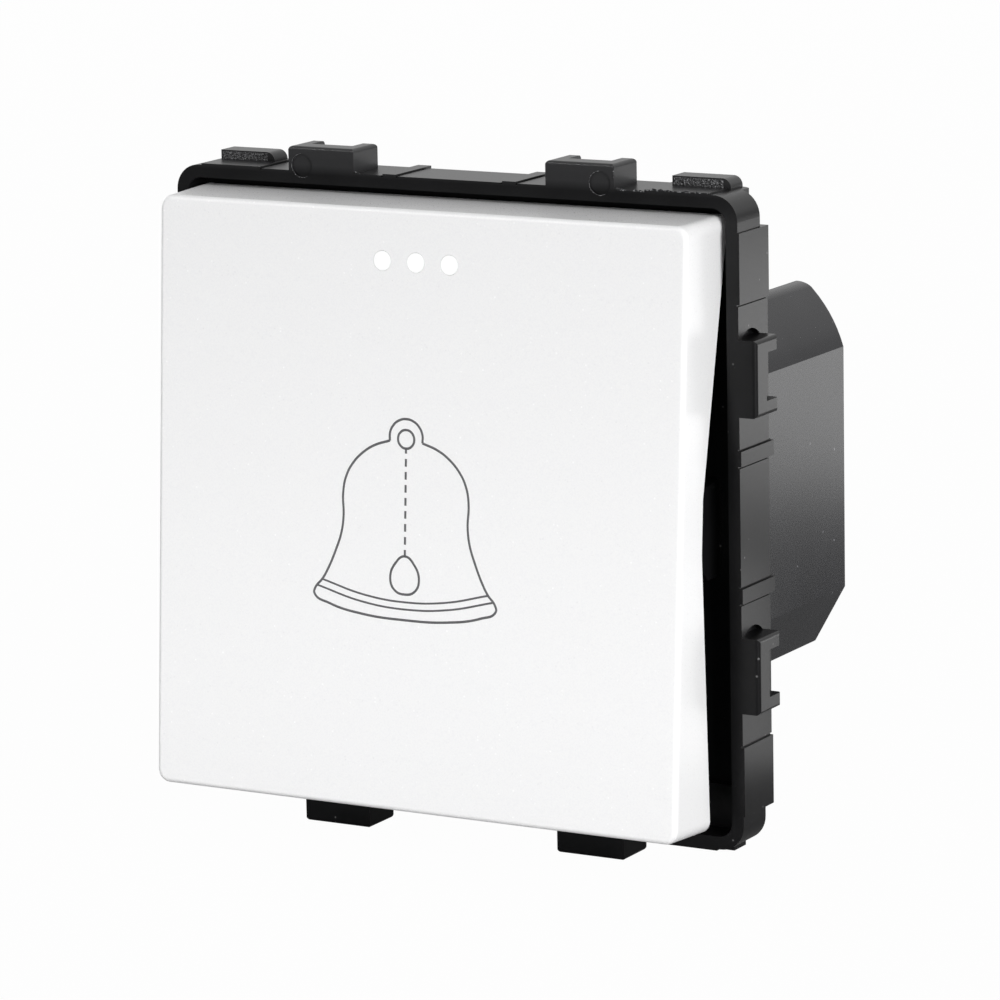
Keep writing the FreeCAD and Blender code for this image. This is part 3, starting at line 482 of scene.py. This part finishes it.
def makeRoundedHousing(size):
    bm = bmesh.new()
    bm.from_mesh(nodes["rear_housing"].data)
    bmesh.ops.remove_doubles(bm, verts=bm.verts, dist=0.001 * mm)
    high, low = Vector(size["high"]), Vector(size["low"])
    along = low - high
    outward = Vector((-along.y, along.x)).normalized()
    for side in (1, -1):
        for k in range(1, size["cuts"]):
            spot = high + along * k / size["cuts"]
            bmesh.ops.bisect_plane(
                bm,
                geom=bm.verts[:] + bm.edges[:] + bm.faces[:],
                plane_co=Vector((side * spot.x, 0, spot.y)) * mm,
                plane_no=(side * along.x, 0, along.y),
            )
    for vert in bm.verts:
        x, y, z = vert.co / mm
        side = math.copysign(1, x)
        x = abs(x)
        share = (Vector((x, z)) - high).dot(along) / along.length_squared
        offLine = (Vector((x, z)) - high).dot(outward)
        if 0 < share < 1 and abs(offLine) < size["near"] and y > size["front"]:
            spot = Vector((x, z)) + outward * size["bulge"] * 4 * share * (1 - share)
            x, z = spot
        if y > size["start"] and z > size["foot"] and abs(x - size["inner"]) < 0.05:
            x = size["ridge"]
        if y > size["start"] and x < high.x and z > high.y:
            z -= size["lower"] * min(1, (z - high.y) / size["near"])
        vert.co = Vector((side * x, y, z)) * mm
    placeReshaped(
        "roundedHousing", bm, "rear_housing", finishes["housing"], "mechanism", 15
    )


makeRoundedHousing(crestShape)
print("housing rounded")

# the printed bell: half of its outline in millimetres from its own middle line
bellSign = {
    "middle": -0.62,
    "line": 0.185,
    "thinLine": 0.15,
    "film": 0.03,
    "loop": (5.5, 1.4, 11.0),
    "ring": (5.42, 0.68),
    "outline": [
        (1.37, 5.23), (2.66, 4.8), (3.6, 4.22), (4.42, 3.42), (5.03, 2.36), (5.28, 1.13),
        (5.23, -0.66), (5.41, -1.9), (5.91, -3.3), (6.42, -4.45), (6.97, -5.4), (7.6, -6.15),
        (7.66, -6.55), (6.4, -7.17), (3.56, -7.72), (0, -7.87),
    ],
    "upperBand": [(6.95, -5.45), (3.5, -6.27), (0, -6.55)],
    "lowerBand": [(7.38, -5.92), (3.7, -6.79), (0, -7.08)],
    "clapper": [(0, -3.17), (0.78, -3.72), (1.21, -4.83), (0.86, -5.7), (0, -5.98)],
    "firstDash": (4.78, 4.38),
    "dash": 0.565,
    "dashPitch": 0.955,
    "dashStart": 3.99,
    "dashes": 8,
}


def mirrorLine(half):
    return half + [(-x, z) for x, z in reversed(half[:-1])]


def drawLine(curve, points, closed, smooth=True):
    spline = curve.splines.new("BEZIER")
    spline.bezier_points.add(len(points) - 1)
    for point, (x, z) in zip(spline.bezier_points, points):
        point.co = Vector((x, z, 0))
        kind = "AUTO" if smooth else "VECTOR"
        point.handle_left_type = kind
        point.handle_right_type = kind
    spline.use_cyclic_u = closed


def linesToMesh(name, lines, width, film):
    curve = bpy.data.curves.new(name + "Curve", "CURVE")
    curve.dimensions = "3D"
    curve.resolution_u = 10
    curve.bevel_depth = width / 2
    curve.bevel_resolution = 1
    curve.use_fill_caps = True
    for points, closed, smooth in lines:
        drawLine(curve, points, closed, smooth)
    holder = bpy.data.objects.new(name + "Curve", curve)
    bpy.context.scene.collection.objects.link(holder)
    bpy.context.view_layer.update()
    graph = bpy.context.evaluated_depsgraph_get()
    mesh = bpy.data.meshes.new_from_object(holder.evaluated_get(graph))
    bpy.data.objects.remove(holder)
    mesh.name = name
    # flatten the round section to the thickness of the print
    mesh.transform(Matrix.Scale(film / width, 4, (0, 0, 1)))
    return mesh


def circlePoints(centre, radius, start, end, count):
    points = []
    for k in range(count):
        angle = math.radians(start + (end - start) * k / (count - 1))
        points.append((radius * math.cos(angle), centre + radius * math.sin(angle)))
    return points


def makeBellSign(size):
    loopCentre, loopRadius, below = size["loop"]
    ringCentre, ringRadius = size["ring"]
    thick = [
        (mirrorLine(size["outline"]), False, True),
        (circlePoints(loopCentre, loopRadius, -below, 180 + below, 9), False, True),
        (circlePoints(ringCentre, ringRadius, 0, 315, 8), True, True),
        (mirrorLine(size["clapper"])[:-1], True, True),
    ]
    first, last = size["firstDash"]
    thick.append(([(0, first), (0, last)], False, False))
    for k in range(size["dashes"]):
        top = size["dashStart"] - k * size["dashPitch"]
        thick.append(([(0, top), (0, top - size["dash"])], False, False))
    thin = [
        (mirrorLine(size["upperBand"]), False, True),
        (mirrorLine(size["lowerBand"]), False, True),
    ]
    place = (
        ontoButton(button)
        @ Matrix.Scale(mm, 4)
        @ Matrix.Translation((size["middle"], button["face"], 0))
        @ Matrix.Rotation(math.radians(90), 4, "X")
    )
    for name, lines, width in (
        ("bellSignLines", thick, size["line"]),
        ("bellSignBands", thin, size["thinLine"]),
    ):
        mesh = linesToMesh(name, lines, width, size["film"])
        mesh.transform(place)
        makePiece(name, mesh, finishes["ink"], "rocker")


# grey pad-printing ink: matt, and a little uneven where the pad lifted off
def makeInk():
    material, tree, place = startMaterial("greyPadPrintInk")
    cloud = noiseAt(tree, place, 0.5, 2.0)
    shader = addNode(
        tree,
        "ShaderNodeBsdfPrincipled",
        {"Roughness": 0.55, "IOR": 1.5},
        {"Base Color": colourBetween(tree, cloud, "#58585A", "#646466")},
    )
    finishMaterial(tree, shader)
    return material


finishes["ink"] = makeInk()
makeBellSign(bellSign)
print("sign printed")


# the two coil springs, wound over their CAD nodes
coilSprings = {
    "returnCoil": {
        "node": "return_spring", "wire": 0.28, "turns": 4, "joint": "rocker_press", "keep": 0.806,
    },
    "plungerCoil": {
        "node": "plunger_spring", "wire": 0.2, "turns": 2, "joint": "plunger_travel", "keep": 0.705,
    },
}


def makeCoilSpring(name, size):
    low, high = (Vector(corner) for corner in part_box(size["node"]))
    wire = size["wire"] * mm
    radius = (high.x - low.x) / 2 - wire
    middle = (low + high) / 2
    stepsPerTurn = 40
    rise = (high.y - low.y - 2 * wire) / (size["turns"] * stepsPerTurn)
    bm = bmesh.new()
    bmesh.ops.create_circle(bm, segments=12, radius=wire)
    bmesh.ops.translate(bm, verts=bm.verts, vec=(middle.x + radius, low.y + wire, middle.z))
    ends = [bm.edges[:]]
    last = bm.verts[:] + bm.edges[:]
    # a flat half turn at each end, as on a spring with closed ends
    for turns, lift in ((0.5, 0), (size["turns"], rise), (0.5, 0)):
        last = bmesh.ops.spin(
            bm,
            geom=last,
            cent=middle,
            axis=(0, 1, 0),
            dvec=(0, lift, 0),
            angle=math.radians(360 * turns),
            steps=int(turns * stepsPerTurn),
        )["geom_last"]
    ends.append([g for g in last if isinstance(g, bmesh.types.BMEdge)])
    for loop in ends:
        bmesh.ops.contextual_create(bm, geom=loop)
    bmesh.ops.recalc_face_normals(bm, faces=bm.faces)
    for face in bm.faces:
        face.smooth = len(face.verts) == 4
    mesh = bpy.data.meshes.new(name)
    bm.to_mesh(mesh)
    bm.free()
    piece = makePiece(name, mesh, finishes["spring"], "mechanism")
    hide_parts(size["node"])
    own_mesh(piece)


for springName, spring in coilSprings.items():
    makeCoilSpring(springName, spring)

# the clamp leaves are copies of their CAD nodes, cut finely across the fold
clampLeaves = {"right": 1, "left": -1}
leafBend = {"start": (14, 16, 3.4), "end": (14, 16, 1.05), "cuts": 16}


def makeClampLeaf(side, sign, size):
    node = "clamp_spring_" + side
    bm = bmesh.new()
    bm.from_mesh(nodes[node].data)
    bmesh.ops.remove_doubles(bm, verts=bm.verts, dist=0.001 * mm)
    start, end = (Vector((sign * p[0], p[1], p[2])) * mm for p in (size["start"], size["end"]))
    for k in range(size["cuts"]):
        bmesh.ops.bisect_plane(
            bm,
            geom=bm.verts[:] + bm.edges[:] + bm.faces[:],
            plane_co=start.lerp(end, (k + 0.5) / size["cuts"]),
            plane_no=(0, 0, 1),
        )
    mesh = bpy.data.meshes.new(node)
    bm.to_mesh(mesh)
    bm.free()
    piece = makePiece("clampLeaf" + side.capitalize(), mesh, finishes["spring"])
    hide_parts(node)
    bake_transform(piece)


for side, sign in clampLeaves.items():
    makeClampLeaf(side, sign, leafBend)
print("springs wound")

# tin on the lamp board: the resistor's end caps, and a fillet of solder at every joint
boardTin = {
    "face": 6.6,
    "capLong": 0.5,
    "capProud": 0.02,
    "fillets": [
        (-5.0, 8.0, 0.7), (-1.4, 8.0, 0.7), (-2.0, 10.5, 0.6), (2.0, 10.5, 0.6),
        (-7.4, 7.0, 0.8), (7.4, 7.0, 0.8),
    ],
    "filletHigh": 0.35,
}


def makeBoardTin(size):
    low, high = (Vector(corner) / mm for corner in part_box("series_resistor"))
    bm = bmesh.new()
    for x in (low.x + size["capLong"] / 2, high.x - size["capLong"] / 2):
        cap = bmesh.ops.create_cube(bm, size=1)["verts"]
        proud = 2 * size["capProud"]
        long, deep, tall = size["capLong"] + proud, high.y - low.y + proud, high.z - low.z + proud
        bmesh.ops.scale(bm, verts=cap, vec=(long, deep, tall))
        bmesh.ops.translate(bm, verts=cap, vec=(x, (low.y + high.y) / 2, (low.z + high.z) / 2))
        edges = {e for v in cap for e in v.link_edges}
        bmesh.ops.bevel(
            bm, geom=list(edges), offset=0.06, offset_type="OFFSET", affect="EDGES",
            segments=3, profile=0.5, material=-1,
        )
    for x, z, radius in size["fillets"]:
        drop = bmesh.ops.create_uvsphere(bm, u_segments=24, v_segments=12, radius=radius)["verts"]
        bmesh.ops.scale(bm, verts=drop, vec=(1, size["filletHigh"] / radius, 1))
        bmesh.ops.translate(bm, verts=drop, vec=(x, size["face"], z))
        for vert in drop:
            vert.co.y = min(vert.co.y, size["face"] + 0.02)
    for face in bm.faces:
        face.smooth = True
    bmesh.ops.recalc_face_normals(bm, faces=bm.faces)
    bmesh.ops.scale(bm, verts=bm.verts, vec=(mm, mm, mm))
    mesh = bpy.data.meshes.new("boardTin")
    bm.to_mesh(mesh)
    bm.free()
    makePiece("boardTin", mesh, finishes["wire"], "mechanism")


makeBoardTin(boardTin)
print("board soldered")


# black polyamide that was torn or scuffed: it turns pale where it was stretched; the torn kind also
# serves as a painted highlight on one hook's corner edge
def makePaleMottled(name, base, pale, size, start, end):
    material, tree, place = startMaterial(name)
    mottle = noiseAt(tree, place, size, 3.0, 0.65)
    colour = colourBetween(tree, spreadOf(tree, mottle, start, end, 0.0, 1.0), base, pale)
    shader = addNode(
        tree,
        "ShaderNodeBsdfPrincipled",
        {"IOR": 1.53, "Roughness": 0.45, "Specular IOR Level": 0.3},
        {"Base Color": colour, "Normal": bumpFrom(tree, mottle, 0.03)},
    )
    finishMaterial(tree, shader)
    return material


finishes["scuffed"] = makePaleMottled("scuffedPolyamide", "#262627", "#828284", 0.1, 0.48, 0.66)
# painted highlight: this pale torn plastic also stands for the light on the right hook's corner
# edge
finishes["torn"] = makePaleMottled("tornPolyamide", "#1E1E20", "#98989A", 0.22, 0.5, 0.68)

# the four ears have a scuffed front face inside a narrow smooth border
scuffedEars = {
    "starts": (17.0, -21.2),
    "long": 4.0,
    "front": 2.8,
    "middle": 24.34,
    "high": 0.6,
    "proud": 0.004,
    "thick": 0.03,
    "rough": 0.06,
    "grain": 0.11,
    "border": 0.06,
}


def makeScuffedEar(name, start, side, size):
    bm = bmesh.new()
    bmesh.ops.create_grid(bm, x_segments=110, y_segments=14, size=0.5)
    bmesh.ops.scale(bm, verts=bm.verts, vec=(size["long"], size["high"], 1))
    bmesh.ops.rotate(bm, verts=bm.verts, matrix=Matrix.Rotation(math.radians(90), 3, "X"))
    middle = (start + size["long"] / 2, size["front"] - size["proud"], side * size["middle"])
    bmesh.ops.translate(bm, verts=bm.verts, vec=middle)
    face = bm.faces[:]
    back = bmesh.ops.extrude_face_region(bm, geom=face, use_keep_orig=True)["geom"]
    backVerts = [g for g in back if isinstance(g, bmesh.types.BMVert)]
    bmesh.ops.translate(bm, verts=backVerts, vec=(0, size["thick"], 0))
    for vert in {v for f in face for v in f.verts}:
        pit = noise.noise(vert.co / size["grain"])
        pit += 0.5 * noise.noise(vert.co * 2.3 / size["grain"])
        fromEdge = min(
            vert.co.x - start,
            start + size["long"] - vert.co.x,
            size["high"] / 2 - abs(side * vert.co.z - size["middle"]),
        )
        # the pits start at the border and are deepest inside it
        vert.co.y -= size["rough"] * max(0, 0.4 + pit) * min(1, fromEdge / size["border"])
    bmesh.ops.recalc_face_normals(bm, faces=bm.faces)
    bmesh.ops.scale(bm, verts=bm.verts, vec=(mm, mm, mm))
    mesh = bpy.data.meshes.new(name)
    bm.to_mesh(mesh)
    bm.free()
    makePiece(name, mesh, finishes["scuffed"], "mechanism")


for wallName, side in (("Top", 1), ("Bottom", -1)):
    for k, start in enumerate(scuffedEars["starts"]):
        makeScuffedEar(f"earScuff{wallName}{k + 1}", start, side, scuffedEars)

# ragged flash left by the mould along the frame's top front edge, on its right half;
# from padStart on it stands on the pad, which is higher
mouldFlash = {
    "start": 13.75,
    "end": 21.2,
    "front": -0.03,
    "thick": 0.07,
    "foot": 23.88,
    "strip": 0.06,
    "high": 0.17,
    "padStart": 16.1,
    "padHigh": 0.12,
}


def makeMouldFlash(size):
    long = size["end"] - size["start"]
    bm = bmesh.new()
    bmesh.ops.create_grid(bm, x_segments=150, y_segments=1, size=0.5)
    bmesh.ops.scale(bm, verts=bm.verts, vec=(long, size["strip"], 1))
    bmesh.ops.rotate(bm, verts=bm.verts, matrix=Matrix.Rotation(math.radians(90), 3, "X"))
    halfway = size["foot"] + size["strip"] / 2
    middle = (size["start"] + long / 2, size["front"], halfway)
    bmesh.ops.translate(bm, verts=bm.verts, vec=middle)
    for vert in bm.verts:
        upper = vert.co.z > halfway
        if vert.co.x > size["padStart"]:
            vert.co.z += size["padHigh"]
        if upper:
            ragged = noise.noise(Vector((vert.co.x * 1.7, 3.1, 0)))
            ragged += 0.6 * noise.noise(Vector((vert.co.x * 5.3, 7.7, 0)))
            fromEnd = min(vert.co.x - size["start"], size["end"] - vert.co.x)
            vert.co.z += size["high"] * max(0, 0.25 + ragged) * min(1, fromEnd / 0.5)
    front = bm.faces[:]
    back = bmesh.ops.extrude_face_region(bm, geom=front, use_keep_orig=True)["geom"]
    backVerts = [g for g in back if isinstance(g, bmesh.types.BMVert)]
    for vert in backVerts:
        lean = 0.5 + 0.5 * noise.noise(Vector((vert.co.x * 2.9, 1.3, 0)))
        vert.co.y += size["thick"] * lean
    bmesh.ops.recalc_face_normals(bm, faces=bm.faces)
    bmesh.ops.scale(bm, verts=bm.verts, vec=(mm, mm, mm))
    mesh = bpy.data.meshes.new("mouldFlash")
    bm.to_mesh(mesh)
    bm.free()
    makePiece("mouldFlash", mesh, finishes["torn"], "mechanism")


makeMouldFlash(mouldFlash)

# thin burr round half of each ejector pin's mark on the two top hooks
pinBurr = {
    "middles": (12.5, -12.5),
    "height": 24.33,
    "radius": 0.88,
    "wide": 0.026,
    "from": 95,
    "to": 300,
}


def makePinBurr(name, middle, size):
    bm = bmesh.new()
    bmesh.ops.create_circle(bm, segments=6, radius=size["wide"])
    bmesh.ops.rotate(bm, verts=bm.verts, matrix=Matrix.Rotation(math.radians(90), 3, "X"))
    centre = Vector((middle, 0, size["height"]))
    # the section's plane holds the axis, so it is turned to the start of the arc
    bmesh.ops.rotate(bm, verts=bm.verts, matrix=Matrix.Rotation(math.radians(90), 3, "X"))
    bmesh.ops.translate(bm, verts=bm.verts, vec=centre + Vector((size["radius"], 0, 0)))
    bmesh.ops.rotate(
        bm,
        verts=bm.verts,
        cent=centre,
        matrix=Matrix.Rotation(math.radians(-size["from"]), 3, "Y"),
    )
    first = bm.edges[:]
    last = bmesh.ops.spin(
        bm,
        geom=bm.verts[:] + first,
        cent=centre,
        axis=(0, 1, 0),
        angle=math.radians(size["from"] - size["to"]),
        steps=60,
    )["geom_last"]
    for loop in (first, [g for g in last if isinstance(g, bmesh.types.BMEdge)]):
        bmesh.ops.contextual_create(bm, geom=loop)
    for vert in bm.verts:
        wave = noise.noise(vert.co * 2.6) + 0.6 * noise.noise(vert.co * 7.1)
        away = (vert.co - centre).normalized()
        vert.co += away * wave * size["wide"] * 1.2
    bmesh.ops.recalc_face_normals(bm, faces=bm.faces)
    bmesh.ops.scale(bm, verts=bm.verts, vec=(mm, mm, mm))
    mesh = bpy.data.meshes.new(name)
    bm.to_mesh(mesh)
    bm.free()
    makePiece(name, mesh, finishes["scuffed"], "mechanism")


for k, middle in enumerate(pinBurr["middles"]):
    makePinBurr(f"pinBurr{k + 1}", middle, pinBurr)

# pale torn plastic along the feet of the two top hooks, and a painted highlight: a pale streak of
# the same plastic down the right hook's front corner edge
paleEdgeStreaks = {
    # painted highlight: a pale streak where the hook's rounded corner edge catches the light
    "rightHookCornerHighlight": {"from": (13.62, 0.0, 25.5), "to": (13.62, 0.0, 24.6), "wide": 0.06},
    "rightHookFoot": {"from": (13.75, 0.0, 24.05), "to": (14.5, 0.0, 23.98), "wide": 0.05},
    "leftHookFoot": {"from": (-8.1, 0.0, 24.15), "to": (-7.5, 0.02, 23.97), "wide": 0.07},
}


def makePaleEdgeStreak(name, size):
    start, end = Vector(size["from"]), Vector(size["to"])
    along = end - start
    bm = bmesh.new()
    bmesh.ops.create_circle(bm, segments=6, radius=size["wide"])
    turn = along.to_track_quat("Z", "Y").to_matrix()
    bmesh.ops.rotate(bm, verts=bm.verts, matrix=turn)
    bmesh.ops.translate(bm, verts=bm.verts, vec=start)
    first = bm.edges[:]
    last = bmesh.ops.spin(
        bm, geom=bm.verts[:] + first, cent=start, axis=(0, 1, 0), dvec=along / 24, angle=0, steps=24
    )["geom_last"]
    for loop in (first, [g for g in last if isinstance(g, bmesh.types.BMEdge)]):
        bmesh.ops.contextual_create(bm, geom=loop)
    for vert in bm.verts:
        step = (vert.co - start).dot(along) / along.length_squared
        line = start + along * step
        wave = 0.35 + 0.9 * abs(noise.noise(Vector((step * 7, size["wide"] * 40, start.x))))
        vert.co = line + (vert.co - line) * wave * min(1, 4 * min(step, 1 - step) + 0.1)
    bmesh.ops.recalc_face_normals(bm, faces=bm.faces)
    bmesh.ops.scale(bm, verts=bm.verts, vec=(mm, mm, mm))
    mesh = bpy.data.meshes.new(name)
    bm.to_mesh(mesh)
    bm.free()
    makePiece(name, mesh, finishes["torn"], "mechanism")


for streakName, streak in paleEdgeStreaks.items():
    makePaleEdgeStreak(streakName, streak)
print("mould marks added")


# floor, white to the camera and to reflections, with the object's soft shadow on it
stageSize = {
    "half": 2.5,
    "below": 0.00005,
    "white": 0.98,
    "colour": "#9A9A9A",
    "nearby": 0.09,
    "away": 0.5,
    "front": 0.05,
}


def seenDirectly(tree):
    # two factors: 1 for rays from the camera, and 1 for reflected rays and rays through glass
    rays = addNode(tree, "ShaderNodeLightPath")
    seen = rays.outputs["Is Camera Ray"]
    mirrored = addNode(
        tree,
        "ShaderNodeMath",
        {"operation": "MAXIMUM"},
        {0: rays.outputs["Is Glossy Ray"], 1: rays.outputs["Is Transmission Ray"]},
    ).outputs[0]
    return seen, mirrored


def makeFloor(size):
    bm = bmesh.new()
    bmesh.ops.create_grid(bm, x_segments=1, y_segments=1, size=size["half"])
    bmesh.ops.translate(bm, verts=bm.verts, vec=(0, 0, cadBox[0][2] - size["below"]))
    mesh = bpy.data.meshes.new("studioFloor")
    bm.to_mesh(mesh)
    bm.free()
    floor = bpy.data.objects.new("studioFloor", mesh)
    bpy.context.scene.collection.objects.link(floor)
    material, tree, place = startMaterial("paleFloor")
    seen, mirrored = seenDirectly(tree)
    distance = addNode(
        tree, "ShaderNodeVectorMath", {"operation": "LENGTH"}, {0: place}
    ).outputs["Value"]
    far = spreadOf(tree, distance, size["nearby"], size["away"], 0.0, 1.0)
    depth = addNode(tree, "ShaderNodeSeparateXYZ", None, {0: place}).outputs["Y"]
    behind = spreadOf(tree, depth, -size["nearby"], size["nearby"], size["front"], 1.0)
    far = addNode(tree, "ShaderNodeMath", {"operation": "MULTIPLY"}, {0: far, 1: behind}).outputs[0]
    mirrored = addNode(
        tree, "ShaderNodeMath", {"operation": "MULTIPLY"}, {0: mirrored, 1: far}
    ).outputs[0]
    seen = addNode(
        tree, "ShaderNodeMath", {"operation": "MAXIMUM"}, {0: seen, 1: mirrored}
    ).outputs[0]
    factor = addNode(
        tree, "ShaderNodeMath", {"operation": "MULTIPLY", 1: size["white"]}, {0: seen}
    ).outputs[0]
    grey = addNode(tree, "ShaderNodeBsdfDiffuse", {"Color": linearColour(size["colour"])})
    white = addNode(tree, "ShaderNodeEmission", {"Color": (1, 1, 1, 1), "Strength": 1.0})
    blend = addNode(
        tree, "ShaderNodeMixShader", None, {0: factor, 1: grey.outputs[0], 2: white.outputs[0]}
    )
    finishMaterial(tree, blend)
    mesh.materials.append(material)


worldLight = {"ambient": 0.3, "room": 0.2, "rise": 0.22, "behind": (-0.75, -0.1)}


def makeWorld(size):
    # white to the camera and in reflections, but reflections of the room behind the
    # camera are dim
    world = bpy.data.worlds.new("studioWorld")
    bpy.context.scene.world = world
    world.use_nodes = True
    tree = world.node_tree
    tree.nodes.clear()
    seen, mirrored = seenDirectly(tree)
    way = addNode(tree, "ShaderNodeTexCoord").outputs["Generated"]
    part = addNode(tree, "ShaderNodeSeparateXYZ", None, {0: way})
    behind = spreadOf(tree, part.outputs["Y"], *size["behind"], 0.0, 1.0)
    above = spreadOf(tree, part.outputs["Z"], 0.0, size["rise"], 0.0, 1.0)
    backdrop = addNode(
        tree, "ShaderNodeMath", {"operation": "MULTIPLY"}, {0: behind, 1: above}
    ).outputs[0]
    room = spreadOf(tree, backdrop, 0.0, 1.0, size["room"], 1.0)
    ambient = addNode(
        tree,
        "ShaderNodeMix",
        {"data_type": "FLOAT", 2: size["ambient"]},
        {0: mirrored, 3: room},
    ).outputs[0]
    level = addNode(
        tree, "ShaderNodeMix", {"data_type": "FLOAT", 3: 1.0}, {0: seen, 2: ambient}
    ).outputs[0]
    sky = addNode(tree, "ShaderNodeBackground", {"Color": (1, 1, 1, 1)}, {"Strength": level})
    addNode(tree, "ShaderNodeOutputWorld", None, {"Surface": sky.outputs[0]})


# every lamp is aimed at the origin: its place, its size, its power, and whether it shows in
# reflections; the two cards are small and near, for the edges that they brighten
lamps = {
    "keyRight": ((0.75, -0.45, 0.22), (0.4, 0.4), 6.7, True),
    "fillFront": ((0.2, -0.9, 0.12), (0.5, 0.5), 0.42, False),
    "backLeft": ((-0.75, 0.35, 0.1), (0.6, 0.6), 3.0, True),
    "backFill": ((-0.15, 0.9, 0.08), (0.6, 0.12), 6.0, False),
    "edgeLight": ((-0.39, -0.48, 0.51), (0.09, 0.09), 1.0, True),
    "tableStrip": ((0, -0.07, -0.019), (0.3, 0.01), 0.03, False),
    "cardRight": ((0.068, 0.096, -0.0065), (0.05, 0.025), 0.0094, True),
    "cardLow": ((0.036, 0.022, -0.016), (0.009, 0.016), 0.0008, True),
}


def makeLamp(name, place, size, power, gloss):
    data = bpy.data.lights.new(name, "AREA")
    data.shape = "RECTANGLE"
    data.size, data.size_y = size
    data.energy = power
    light = bpy.data.objects.new(name, data)
    place = Vector(place)
    aim = place.to_track_quat("Z", "Y").to_matrix().to_4x4()
    light.matrix_world = Matrix.Translation(place) @ aim
    light.visible_camera = False
    light.visible_glossy = gloss
    bpy.context.scene.collection.objects.link(light)


makeFloor(stageSize)
makeWorld(worldLight)
for lampName, lamp in lamps.items():
    makeLamp(lampName, *lamp)
bpy.context.scene.view_settings.view_transform = "Standard"
print("stage and lamps set")
